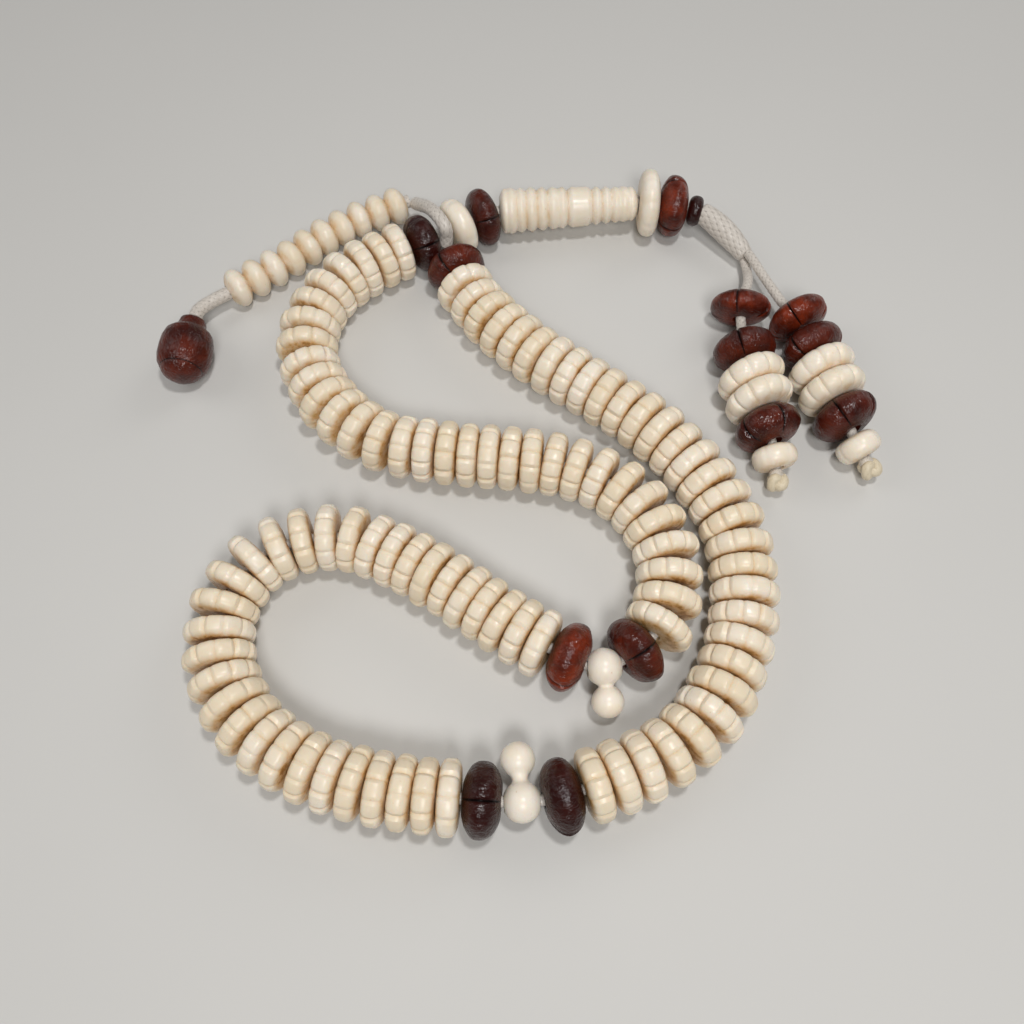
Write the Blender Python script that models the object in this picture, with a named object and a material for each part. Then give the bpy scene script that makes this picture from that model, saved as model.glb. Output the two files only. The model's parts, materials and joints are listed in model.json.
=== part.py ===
"""Misbaha prayer beads, laid flat on a table in a loose double fold.

One cord carries three runs of bone beads with a wooden spacer at each end of a run and a divider
between runs. Both ends of the cord pass through the head: a bone disc, a wooden disc, the long
turned imame, a second pair of discs and a small collar bead. A braided sleeve leads to a tassel
of two beaded legs, and a second cord at the neck carries ten small counting beads and a drop.

Lengths below are in millimetres and are turned into metres by MM where they are used.
+Z is up, the table is the plane z = 0, and the origin is the middle of the laid-out beads.
"""

import math

import bmesh
import bpy
from mathutils import Matrix, Vector

MM = 0.001
CLEARANCE = 0.3

# Main strand
BEAD_DIAMETER = 12.0
BEAD_FACE_DIAMETER = 9.6
BEAD_RIM_SHARE = 0.22
BEAD_SIDES = 12
BEADS_PER_RUN = 31
BEADS_PER_ROW = 8
STRAND_HEIGHT = BEAD_DIAMETER / 2
STRAND_CORD_DIAMETER = 1.8
STRAND_BORE_DIAMETER = 3.6
BEND_CROWDING = 0.8

# Wooden spacers and other turned beads: diameter, thickness, bore, rim width
SPACER = (12.0, 5.5, 4.0, 2.6)
TASSEL_WOOD = (12.2, 6.0, 4.2, 3.0)
TASSEL_SMALL_WOOD = (11.4, 6.0, 4.2, 3.0)
TASSEL_BONE = (13.5, 4.5, 4.2, 2.2)
TASSEL_END = (8.6, 4.0, 3.8, 2.4)
COUNTER_BEAD = (8.3, 3.9, 3.9, 2.4)
HEAD_BONE_DISC = (12.0, 4.8, 4.2, 2.4)
HEAD_WOOD_DISC = (12.0, 5.2, 4.2, 2.6)
COLLAR_BONE_DISC = (14.0, 4.0, 3.6, 2.2)
COLLAR_WOOD_DISC = (12.6, 5.2, 3.8, 2.8)
COLLAR_BEAD = (6.3, 3.0, 3.4, 2.0)

# Dividers: a ball on the cord, a neck and a free ball
DIVIDER_BALL_DIAMETER = 6.1
DIVIDER_FREE_BALL_DIAMETER = 5.4
DIVIDER_NECK_DIAMETER = 2.9
DIVIDER_SPACING = 6.4
DIVIDER_BORE_DIAMETER = 3.8
DIVIDER_DROP = 2.9

# Imame, from its wide end to its narrow end
IMAME_LENGTH = 29.2
IMAME_WIDE_RADIUS = 4.75
IMAME_NARROW_RADIUS = 3.45
IMAME_GROOVE_DEPTH = 0.85
IMAME_BORE_DIAMETER = 3.4
# each turned ring: where its middle lies along the imame, and how long it is
IMAME_RINGS = (
    (1.3, 1.9), (3.1, 1.5), (4.8, 1.7), (6.9, 1.8), (9.1, 2.0), (11.6, 2.3), (13.6, 1.5),
    (17.0, 4.9), (20.6, 1.8), (22.7, 1.8), (24.7, 1.6), (27.3, 3.4),
)

# Cords
HEAD_CORD_DIAMETER = 2.4
COUNTER_CORD_DIAMETER = 2.7
LEG_CORD_DIAMETER = 1.9
SLEEVE_DIAMETER = 4.6
CORD_POINT_SPACING = 2.8  # in cord diameters

# Routes are x, y on the table; the strand keeps one height, other cords give x, y, z
RUN_A = (
    (-18.2, 50.6), (-26.9, 45.9), (-34.5, 39.7), (-38.9, 31.6), (-39.5, 21.9), (-35.1, 12.3),
    (-28.9, 6.0), (-21.9, 2.3), (-10.9, 0.3), (1.1, -0.9), (9.6, -2.3), (17.4, -5.4),
    (23.9, -11.1), (27.7, -19.0), (27.8, -26.7), (25.6, -33.3), (21.4, -37.5),
)
DIVIDER_1 = (16.0, -40.3)
RUN_B = (
    (10.2, -38.6), (3.3, -35.0), (-4.1, -30.1), (-12.2, -24.5), (-20.7, -19.9), (-28.9, -16.9),
    (-37.1, -17.5), (-44.3, -21.5), (-48.6, -29.1), (-48.7, -37.7), (-45.5, -45.9),
    (-39.5, -52.3), (-31.9, -56.7), (-22.9, -59.5), (-12.9, -61.0), (-4.1, -61.7),
)
DIVIDER_2 = (2.2, -62.0)
RUN_C = (
    (8.5, -61.0), (17.4, -58.1), (25.4, -54.5), (32.1, -49.0), (36.9, -41.4), (40.0, -33.1),
    (41.0, -24.2), (40.3, -15.5), (36.9, -7.2), (31.0, 1.4), (23.6, 8.7), (14.6, 15.5),
    (5.7, 22.0), (-2.6, 29.9), (-8.3, 37.7), (-11.0, 43.8),
)
NECK_A = (-14.8, 52.3)
NECK_C = (-13.2, 49.6)
# The doubled cord through the head, then the head's turned pieces: name, kind, size, centre, and
# yaw in degrees from +X
HEAD_ROUTE = (
    (-14.1, 52.6, 6.0), (-10.8, 54.9, 6.0), (-5.6, 57.6, 6.1), (-2.0, 59.0, 6.3),
    (12.6, 59.8, 6.7), (27.3, 60.6, 7.0), (29.8, 60.7, 7.0), (35.0, 60.3, 6.4), (40.1, 59.2, 6.2),
)
HEAD_PIECES = (
    ("head_bone_disc", "bone", HEAD_BONE_DISC, (-10.8, 54.9, 6.0), 33),
    ("head_wood_disc", "wood", HEAD_WOOD_DISC, (-5.6, 57.6, 6.1), 25),
    ("collar_bone_disc", "bone", COLLAR_BONE_DISC, (29.7, 60.7, 7.0), -2),
    ("collar_wood_disc", "wood", COLLAR_WOOD_DISC, (35.0, 60.3, 6.4), -7),
    ("collar_bead", "wood", COLLAR_BEAD, (39.7, 59.3, 6.2), -14),
)
IMAME_ENDS = ((-2.0, 59.0, 6.3), (27.2, 60.6, 7.0))
SLEEVE_ROUTE = (
    (41.7, 58.4, 6.1), (43.8, 56.7, 5.6), (46.3, 54.1, 5.0), (48.4, 51.5, 4.3), (49.5, 49.9, 3.9),
)
SLEEVE_END_SHARE = 0.56
LEFT_FORK = (49.9, 48.6, 2.8)
RIGHT_FORK = (50.2, 48.7, 5.0)
LEFT_LEAD = (LEFT_FORK, (50.1, 45.3, 3.1), (49.5, 41.7, 4.5), (48.2, 37.9, 5.6))
RIGHT_LEAD = (
    RIGHT_FORK, (51.0, 46.5, 5.3), (52.1, 43.5, 5.4), (53.7, 39.3, 5.7), (55.5, 34.9, 6.0),
)
FORK_PIVOT = (49.7, 49.7, 3.9)
# Tassel beads along each leg: name, kind, size, centre, yaw from +X and pitch in degrees
LEFT_BEADS = (
    ("wood_1", "wood", TASSEL_SMALL_WOOD, (46.8, 34.0, 5.8), -98, 0),
    ("wood_2", "wood", TASSEL_WOOD, (46.4, 23.4, 6.1), -82, 0),
    ("bone_1", "bone", TASSEL_BONE, (46.8, 16.5, 6.8), -70, 0),
    ("bone_2", "bone", TASSEL_BONE, (47.7, 11.5, 6.8), -70, 0),
    ("wood_3", "wood", TASSEL_WOOD, (48.9, 5.7, 6.2), -72, 0),
    ("end_bead", "bone", TASSEL_END, (49.8, 0.1, 4.8), -78, -12),
)
RIGHT_BEADS = (
    ("wood_1", "wood", TASSEL_WOOD, (58.0, 31.2, 6.1), -66, 0),
    ("wood_2", "wood", TASSEL_WOOD, (59.8, 24.4, 6.1), -68, 0),
    ("bone_1", "bone", TASSEL_BONE, (60.6, 18.5, 6.8), -68, 0),
    ("bone_2", "bone", TASSEL_BONE, (61.9, 13.5, 6.8), -68, 0),
    ("wood_3", "wood", TASSEL_WOOD, (63.7, 8.1, 6.2), -64, 0),
    ("end_bead", "bone", TASSEL_END, (65.9, 2.4, 4.8), -60, -12),
)
LEFT_KNOT = (50.2, -4.2, 3.0)
RIGHT_KNOT = (68.0, -1.4, 3.0)
KNOT_SIZE = (4.4, 3.9, 4.0)

# Counter: an arched tail from the neck, the beads, and a turned drop
COUNTER_TAIL = (
    (-13.0, 50.5, 8.6), (-13.2, 50.9, 10.6), (-14.9, 53.6, 11.0), (-17.0, 57.2, 9.4),
    (-18.8, 60.2, 6.9), (-20.1, 62.1, 5.4),
)
COUNTER_PIVOT = (-20.9, 63.2, 4.8)
COUNTER_ROUTE = (
    (-21.8, 63.8, 4.4), (-25.0, 62.3, 4.2), (-32.6, 58.3, 4.2), (-39.9, 53.3, 4.2),
    (-46.3, 47.7, 4.2), (-53.1, 42.5, 4.2), (-56.9, 39.7, 4.2), (-60.8, 36.9, 4.3),
    (-63.0, 34.3, 4.8), (-63.5, 31.7, 5.3),
)
COUNTER_BEADS = 10
COUNTER_FIRST_STATION = 3.2
COUNTER_PITCH = 4.28
DROP_NECK = (-63.6, 30.9, 5.5)
DROP_END = (-64.3, 15.9, 5.6)
# Drop, from its neck: distance along it, radius
DROP_PROFILE = (
    (0.0, 1.5), (0.5, 2.3), (2.4, 2.6), (3.8, 4.2), (6.2, 5.3), (9.4, 5.5), (12.2, 4.6),
    (14.2, 2.8), (14.9, 1.2),
)

COLOURS = {
    "bone": ((0.80, 0.71, 0.56), 0.35),
    "wood": ((0.09, 0.012, 0.010), 0.2),
    "cord": ((0.62, 0.60, 0.56), 0.75),
}


def metres(point):
    return Vector(point) * MM


def at_strand_height(point):
    return (point[0], point[1], STRAND_HEIGHT)


def material(kind, name):
    """A painted-in colour and gloss for one piece."""
    colour, roughness = COLOURS[kind]
    made = bpy.data.materials.new(name)
    made.use_nodes = True
    shader = made.node_tree.nodes["Principled BSDF"]
    shader.inputs["Base Color"].default_value = (*colour, 1.0)
    shader.inputs["Roughness"].default_value = roughness
    shader.inputs["Metallic"].default_value = 0.0
    made.diffuse_color = (*colour, 1.0)
    return made


def finish_object(name, data, kind, location=(0.0, 0.0, 0.0), turn=None):
    """Put mesh or curve data into the scene as a named piece, with its place in millimetres."""
    piece = bpy.data.objects.new(name, data)
    piece.location = metres(location)
    if turn is not None:
        piece.rotation_euler = turn.to_euler()
    data.materials.append(material(kind, name))
    bpy.context.scene.collection.objects.link(piece)
    return piece


def pivot(name, location, parent=None):
    """An empty on a joint's axis, that a moving group hangs from."""
    empty = bpy.data.objects.new(name, None)
    empty.empty_display_size = 3 * MM
    bpy.context.scene.collection.objects.link(empty)
    empty.location = metres(location)
    if parent is not None:
        attach(empty, parent)
    return empty


def world_place(piece):
    """The sum of a piece's own and its parents' places; no pivot is turned at rest."""
    place = piece.location.copy()
    if piece.parent is not None:
        place += world_place(piece.parent)
    return place


def attach(piece, parent):
    """Parent a piece and keep it where it is."""
    piece.location = piece.location - world_place(parent)
    piece.parent = parent


def heading(yaw, pitch=0.0):
    """The direction at a yaw from +X and a pitch above level, both in degrees."""
    level = math.cos(math.radians(pitch))
    across, along = math.sin(math.radians(yaw)), math.cos(math.radians(yaw))
    return Vector((along * level, across * level, math.sin(math.radians(pitch))))


def turn_to(direction):
    """The rotation that carries +X to a direction and keeps +Z as near up as it can be."""
    along = Vector(direction).normalized()
    side = Vector((0, 0, 1)).cross(along).normalized()
    return Matrix((along, side, along.cross(side))).transposed()


class Route:
    """A smooth curve through given points, in millimetres, measured by its length."""

    STEPS = 16

    def __init__(self, knots):
        knots = [Vector(knot) for knot in knots]
        ends = [2 * knots[0] - knots[1], *knots, 2 * knots[-1] - knots[-2]]
        self.points, self.knot_stations = [knots[0]], [0.0]
        self.stations = [0.0]
        for before, start, stop, after in zip(ends, ends[1:], ends[2:], ends[3:]):
            for step in range(1, self.STEPS + 1):
                point = self.blend(before, start, stop, after, step / self.STEPS)
                self.stations.append(self.stations[-1] + (point - self.points[-1]).length)
                self.points.append(point)
            self.knot_stations.append(self.stations[-1])
        self.length = self.stations[-1]

    @staticmethod
    def blend(before, start, stop, after, share):
        """One point of the curve between start and stop, by Catmull and Rom's rule."""
        cubic = 3 * start - before - 3 * stop + after
        square = 2 * before - 5 * start + 4 * stop - after
        return start + 0.5 * share * ((stop - before) + share * (square + share * cubic))

    def at(self, station):
        station = min(max(station, 0.0), self.length)
        index = next(i for i in range(1, len(self.stations)) if self.stations[i] >= station)
        low, high = self.stations[index - 1], self.stations[index]
        return self.points[index - 1].lerp(self.points[index], (station - low) / (high - low))

    def direction(self, station, reach=0.6):
        return (self.at(station + reach) - self.at(station - reach)).normalized()

    def curvature(self, station, reach=3.0):
        turn = self.direction(station - reach).angle(self.direction(station + reach))
        return turn / (2 * reach)

    def evenly(self, start, stop, spacing):
        """Points from start to stop, about spacing apart."""
        count = max(2, round((stop - start) / spacing))
        return [self.at(start + (stop - start) * i / count) for i in range(count + 1)]


def tube(name, kind, points, diameter, origin=(0.0, 0.0, 0.0), shares=None, resolution=2):
    """A cord along points, in millimetres, as a bevelled curve with filled ends."""
    data = bpy.data.curves.new(name, "CURVE")
    data.dimensions = "3D"
    data.bevel_depth = diameter / 2 * MM
    data.bevel_resolution = resolution
    data.use_fill_caps = True
    spline = data.splines.new("POLY")
    spline.points.add(len(points) - 1)
    for index, point in enumerate(points):
        spline.points[index].co = (*metres(Vector(point) - Vector(origin)), 1.0)
        spline.points[index].radius = shares[index] if shares else 1.0
    return finish_object(name, data, kind, origin)


def ring_points(centre, along, radius, sides, phase):
    """Corners of a ring square to a level direction, in millimetres."""
    side = Vector((0, 0, 1)).cross(along).normalized()
    corners = []
    for index in range(sides):
        angle = 2 * math.pi * index / sides + phase
        offset = side * math.cos(angle) + Vector((0, 0, 1)) * math.sin(angle)
        corners.append(centre + offset * radius)
    return corners


def bead_row(name, route, boundaries):
    """A row of neighbouring strand beads as one solid, with a bore for the cord.

    boundaries are the stations where one bead's face meets the next. Each bead is a face, a rim
    with a flat facet underneath, and the next face.
    """
    flat_radius = BEAD_DIAMETER / 2 / math.cos(math.pi / BEAD_SIDES)
    face_radius = BEAD_FACE_DIAMETER / 2 / math.cos(math.pi / BEAD_SIDES)
    bore_sides = BEAD_SIDES // 2
    phase = math.pi / BEAD_SIDES
    start, stop = boundaries[0] + CLEARANCE / 2, boundaries[-1] - CLEARANCE / 2
    outer, bore = [(start, face_radius)], [start]
    for low, high in zip(boundaries, boundaries[1:]):
        rim = (high - low) * BEAD_RIM_SHARE
        outer += [(low + rim, flat_radius), (high - rim, flat_radius), (high, face_radius)]
        bore.append(high)
    outer[-1] = (stop, face_radius)
    bore[-1] = stop

    shape = bmesh.new()

    def add_ring(station, radius, sides):
        corners = ring_points(route.at(station), route.direction(station), radius, sides, phase)
        return [shape.verts.new(metres(corner)) for corner in corners]

    outer_rings = [add_ring(station, radius, BEAD_SIDES) for station, radius in outer]
    bore_rings = [add_ring(station, STRAND_BORE_DIAMETER / 2, bore_sides) for station in bore]
    for rings in (outer_rings, bore_rings):
        for first, second in zip(rings, rings[1:]):
            sides = len(first)
            for i in range(sides):
                j = (i + 1) % sides
                shape.faces.new((first[i], first[j], second[j], second[i]))
    for outside, inside in ((outer_rings[0], bore_rings[0]), (outer_rings[-1], bore_rings[-1])):
        for i in range(bore_sides):
            j = (i + 1) % bore_sides
            near, middle, far = outside[2 * i], outside[2 * i + 1], outside[(2 * i + 2) % BEAD_SIDES]
            shape.faces.new((inside[i], near, middle))
            shape.faces.new((inside[i], middle, inside[j]))
            shape.faces.new((inside[j], middle, far))
    bmesh.ops.recalc_face_normals(shape, faces=shape.faces[:])
    data = bpy.data.meshes.new(name)
    shape.to_mesh(data)
    shape.free()
    return finish_object(name, data, "bone")


def turned_mesh(name, profile, sides, closed):
    """Spin a profile of (distance, radius), in millimetres, about +X.

    A closed profile runs round the wall of a bored piece; an open one starts and ends on the
    axis.
    """
    shape = bmesh.new()
    corners = [shape.verts.new(metres((along, 0.0, radius))) for along, radius in profile]
    edges = [shape.edges.new(pair) for pair in zip(corners, corners[1:])]
    if closed:
        edges.append(shape.edges.new((corners[-1], corners[0])))
    bmesh.ops.spin(
        shape, geom=corners + edges, cent=(0, 0, 0), axis=(1, 0, 0),
        angle=2 * math.pi, steps=sides,
    )
    bmesh.ops.remove_doubles(shape, verts=shape.verts[:], dist=0.001 * MM)
    bmesh.ops.recalc_face_normals(shape, faces=shape.faces[:])
    data = bpy.data.meshes.new(name)
    shape.to_mesh(data)
    shape.free()
    data.shade_smooth()
    data.set_sharp_from_angle(angle=math.radians(35))
    return data


def disc_profile(size):
    """The wall of a bored bead: a flat rim, and shoulders that fall to a face or to the bore."""
    diameter, thickness, bore, rim = size
    half, radius = thickness / 2, diameter / 2
    face = radius - 1.6 * (half - rim / 2)
    rims = [(-rim / 2, radius), (rim / 2, radius)]
    if face < bore / 2 + 1.0:
        return [(-half, bore / 2), *rims, (half, bore / 2)]
    return [(-half, bore / 2), (-half, face), *rims, (half, face), (half, bore / 2)]


def turned_bead(name, kind, size, centre, direction, sides=12):
    data = turned_mesh(name, disc_profile(size), sides, closed=True)
    return finish_object(name, data, kind, centre, turn_to(direction))


def imame_profile():
    """Rounded rings with a groove between each, tapering from the wide end to the narrow end."""
    bore = IMAME_BORE_DIAMETER / 2
    half = IMAME_LENGTH / 2

    def envelope(along):
        share = along / IMAME_LENGTH
        return IMAME_WIDE_RADIUS + (IMAME_NARROW_RADIUS - IMAME_WIDE_RADIUS) * share

    profile = [(-half, bore), (-half, envelope(0) * 0.68)]
    for middle, width in IMAME_RINGS:
        top = width * 0.28
        for along in (middle - top, middle + top):
            profile.append((along - half, envelope(along)))
        groove = middle + width / 2 + 0.1
        if groove < IMAME_LENGTH - 0.5:
            profile.append((groove - half, envelope(groove) - IMAME_GROOVE_DEPTH))
    profile += [(half, envelope(IMAME_LENGTH) * 0.62), (half, bore)]
    return profile


def divider(name, centre, cord_direction):
    """A ball with a cross bore, joined by a neck to a free ball that drops towards the table."""
    ball, free = DIVIDER_BALL_DIAMETER / 2, DIVIDER_FREE_BALL_DIAMETER / 2
    neck = DIVIDER_NECK_DIAMETER / 2
    leave = math.asin(neck / ball)
    arrive = math.asin(neck / free)
    steps = 6
    profile = [(-ball, 0.0)]
    for i in range(1, steps + 1):
        angle = math.pi - (math.pi - leave) * i / steps
        profile.append((ball * math.cos(angle), ball * math.sin(angle)))
    for i in range(steps + 1):
        angle = math.pi - arrive - (math.pi - arrive) * i / steps
        profile.append((DIVIDER_SPACING + free * math.cos(angle), free * math.sin(angle)))
    profile[-1] = (DIVIDER_SPACING + free, 0.0)
    data = turned_mesh(name, profile, 14, closed=False)

    level = Vector((0, 0, 1)).cross(Vector(cord_direction)).normalized()
    tilt = math.asin(DIVIDER_DROP / DIVIDER_SPACING)
    arm = level * math.cos(tilt) - Vector((0, 0, 1)) * math.sin(tilt)
    piece = finish_object(name, data, "bone", centre, turn_to(arm))

    drill = bpy.data.meshes.new(name + "_drill")
    shape = bmesh.new()
    bmesh.ops.create_cone(
        shape, cap_ends=True, segments=12, depth=4 * ball * MM,
        radius1=DIVIDER_BORE_DIAMETER / 2 * MM, radius2=DIVIDER_BORE_DIAMETER / 2 * MM,
    )
    shape.to_mesh(drill)
    shape.free()
    cutter = bpy.data.objects.new(name + "_drill", drill)
    bpy.context.scene.collection.objects.link(cutter)
    cutter.location = metres(centre)
    cutter.rotation_euler = Vector(cord_direction).to_track_quat("Z", "Y").to_euler()
    cutter.hide_render = True
    cutter.display_type = "WIRE"
    cut = piece.modifiers.new("cord bore", "BOOLEAN")
    cut.operation = "DIFFERENCE"
    cut.object = cutter
    return piece


def knot(name, centre, size, origin):
    """The tied end of a leg cord, a stubby ball."""
    shape = bmesh.new()
    bmesh.ops.create_uvsphere(shape, u_segments=10, v_segments=7, radius=0.5 * MM)
    bmesh.ops.scale(shape, verts=shape.verts[:], vec=size)
    bmesh.ops.translate(shape, verts=shape.verts[:], vec=metres(Vector(centre) - Vector(origin)))
    data = bpy.data.meshes.new(name)
    shape.to_mesh(data)
    shape.free()
    data.shade_smooth()
    return finish_object(name, data, "cord", origin)


def bead_boundaries(route, start, stop, count):
    """Stations where strand beads meet: closest on the straights, more open round a bend."""
    steps = 400
    width = (stop - start) / steps
    crowd = [0.0]
    for i in range(steps):
        curve = route.curvature(start + (i + 0.5) * width)
        crowd.append(crowd[-1] + width / (1 + BEND_CROWDING * curve * BEAD_DIAMETER / 2))
    boundaries = [start]
    for bead in range(1, count):
        target = crowd[-1] * bead / count
        index = next(i for i, value in enumerate(crowd) if value >= target)
        share = (target - crowd[index - 1]) / (crowd[index] - crowd[index - 1])
        boundaries.append(start + (index - 1 + share) * width)
    return boundaries + [stop]


def make_strand():
    """The cord, and on it three runs of bead rows with their spacers and the two dividers."""
    knots = [NECK_A, *RUN_A, DIVIDER_1, *RUN_B, DIVIDER_2, *RUN_C, NECK_C]
    route = Route([at_strand_height(knot) for knot in knots])
    cord = route.evenly(0.0, route.length, CORD_POINT_SPACING * STRAND_CORD_DIAMETER)
    tube("main_cord", "cord", cord, STRAND_CORD_DIAMETER)

    first = 1
    for label, run in (("a", RUN_A), ("b", RUN_B), ("c", RUN_C)):
        last = first + len(run) - 1
        ends = []
        for place, index in (("start", first), ("end", last)):
            station = route.knot_stations[index]
            turned_bead(
                f"spacer_{label}_{place}", "wood", SPACER,
                route.at(station), route.direction(station),
            )
            ends.append(station)
        reach = SPACER[1] / 2 + 2 * CLEARANCE
        bounds = bead_boundaries(route, ends[0] + reach, ends[1] - reach, BEADS_PER_RUN)
        for row, begin in enumerate(range(0, BEADS_PER_RUN, BEADS_PER_ROW)):
            bead_row(f"bead_row_{label}{row + 1}", route, bounds[begin:begin + BEADS_PER_ROW + 1])
        first = last + 2

    station = route.knot_stations[1 + len(RUN_A)]
    divider("divider_1", route.at(station), route.direction(station))
    station = route.knot_stations[2 + len(RUN_A) + len(RUN_B)]
    divider("divider_2", route.at(station), route.direction(station))


def make_head():
    """The doubled cord through the head, and the six turned pieces on it."""
    route = Route(HEAD_ROUTE)
    cord = route.evenly(0.0, route.length, CORD_POINT_SPACING * HEAD_CORD_DIAMETER)
    tube("head_cord", "cord", cord, HEAD_CORD_DIAMETER)
    for name, kind, size, centre, yaw in HEAD_PIECES:
        turned_bead(name, kind, size, centre, heading(yaw))
    wide, narrow = Vector(IMAME_ENDS[0]), Vector(IMAME_ENDS[1])
    data = turned_mesh("imame", imame_profile(), 12, closed=True)
    finish_object("imame", data, "bone", (wide + narrow) / 2, turn_to(narrow - wide))


def make_leg(side, lead, beads, knot_centre, parent):
    """One leg of the tassel: a cord from the fork, six beads on it and its knot."""
    hinge = pivot(f"{side}_leg_pivot", FORK_PIVOT, parent)
    centres = [centre for _, _, _, centre, _, _ in beads]
    route = Route([*lead, *centres, knot_centre])
    stop = route.length - KNOT_SIZE[1] / 2 - CLEARANCE
    cord = route.evenly(0.0, stop, CORD_POINT_SPACING * LEG_CORD_DIAMETER)
    attach(tube(f"{side}_leg_cord", "cord", cord, LEG_CORD_DIAMETER, FORK_PIVOT), hinge)
    for name, kind, size, centre, yaw, pitch in beads:
        attach(turned_bead(f"{side}_{name}", kind, size, centre, heading(yaw, pitch)), hinge)
    attach(knot(f"{side}_knot", knot_centre, KNOT_SIZE, FORK_PIVOT), hinge)
    return hinge


def make_tassel():
    """The braided sleeve from the collar to the fork, and the two legs."""
    route = Route(SLEEVE_ROUTE)
    count = 8
    points = [route.at(route.length * i / count) for i in range(count + 1)]
    shares = []
    for i in range(count + 1):
        bulge = math.sin(math.pi * min(1.0, 0.12 + 0.76 * i / count))
        shares.append(SLEEVE_END_SHARE + (1 - SLEEVE_END_SHARE) * bulge ** 0.6)
    shares[0] = shares[-1] = SLEEVE_END_SHARE
    sleeve = tube(
        "sleeve", "cord", points, SLEEVE_DIAMETER, SLEEVE_ROUTE[0], shares, resolution=3,
    )
    left = make_leg("left", LEFT_LEAD, LEFT_BEADS, LEFT_KNOT, sleeve)
    make_leg("right", RIGHT_LEAD, RIGHT_BEADS, RIGHT_KNOT, left)


def make_counter():
    """The arched tail at the neck, and the swinging string of counting beads with its drop."""
    tail = Route(COUNTER_TAIL)
    points = tail.evenly(0.0, tail.length, 3.0)
    tube("counter_tail", "cord", points, COUNTER_CORD_DIAMETER)

    hinge = pivot("counter_pivot", COUNTER_PIVOT)
    route = Route(COUNTER_ROUTE)
    points = route.evenly(0.0, route.length, CORD_POINT_SPACING * COUNTER_CORD_DIAMETER / 2)
    attach(tube("counter_cord", "cord", points, COUNTER_CORD_DIAMETER, COUNTER_PIVOT), hinge)
    for index in range(COUNTER_BEADS):
        station = COUNTER_FIRST_STATION + index * COUNTER_PITCH
        centre, direction = route.at(station), route.direction(station, 1.5)
        bead = turned_bead(f"counter_bead_{index + 1:02d}", "bone", COUNTER_BEAD, centre, direction)
        attach(bead, hinge)
    profile = [(0.0, 0.0), *DROP_PROFILE, (DROP_PROFILE[-1][0] + 0.1, 0.0)]
    data = turned_mesh("counter_drop", profile, 14, closed=False)
    direction = Vector(DROP_END) - Vector(DROP_NECK)
    drop = finish_object("counter_drop", data, "wood", DROP_NECK, turn_to(direction))
    attach(drop, hinge)


def main():
    for piece in list(bpy.data.objects):
        bpy.data.objects.remove(piece)
    make_strand()
    make_head()
    make_tassel()
    make_counter()


main()
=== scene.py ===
import json
import random
from bisect import bisect_left
from math import asin, atan2, cos, floor, hypot, pi, radians, sin, sqrt

import bmesh
import bpy
from bpy.props import FloatProperty, FloatVectorProperty, IntProperty, PointerProperty
from mathutils import Matrix, Vector, noise


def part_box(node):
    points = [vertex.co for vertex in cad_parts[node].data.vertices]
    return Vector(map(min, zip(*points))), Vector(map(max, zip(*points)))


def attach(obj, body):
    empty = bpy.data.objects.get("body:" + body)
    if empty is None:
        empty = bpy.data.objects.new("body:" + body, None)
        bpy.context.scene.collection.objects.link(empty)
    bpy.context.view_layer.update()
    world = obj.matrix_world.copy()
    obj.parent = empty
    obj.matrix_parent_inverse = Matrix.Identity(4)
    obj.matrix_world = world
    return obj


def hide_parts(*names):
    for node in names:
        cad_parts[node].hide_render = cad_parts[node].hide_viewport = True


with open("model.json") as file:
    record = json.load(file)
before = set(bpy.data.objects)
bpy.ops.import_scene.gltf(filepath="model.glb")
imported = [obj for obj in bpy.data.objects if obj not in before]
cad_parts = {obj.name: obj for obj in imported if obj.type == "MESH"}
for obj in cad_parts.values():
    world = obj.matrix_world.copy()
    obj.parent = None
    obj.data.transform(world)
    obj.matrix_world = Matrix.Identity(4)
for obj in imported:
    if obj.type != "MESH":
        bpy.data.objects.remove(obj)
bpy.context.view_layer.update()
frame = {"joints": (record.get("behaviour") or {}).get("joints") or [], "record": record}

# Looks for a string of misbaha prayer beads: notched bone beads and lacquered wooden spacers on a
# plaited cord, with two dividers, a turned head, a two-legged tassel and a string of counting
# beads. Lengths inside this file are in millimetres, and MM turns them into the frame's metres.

bl_info = {
    "name": "Misbaha prayer beads",
    "version": (1, 0, 0),
    "blender": (4, 5, 0),
    "location": "3D View > Sidebar > Misbaha",
    "description": "Bone, wood and plaited cord pieces of a string of prayer beads",
    "category": "Object",
}

MM = 0.001
SEED = 33
TURN = 2 * pi
UP = Vector((0, 0, 1))
MERGE = 0.004 * MM
BODIES = {
    node: body for body, nodes in frame["record"]["behaviour"]["bodies"].items() for node in nodes
}
AXES = {joint["child"]: Vector(joint["axis"]) for joint in frame["joints"]}

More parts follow.
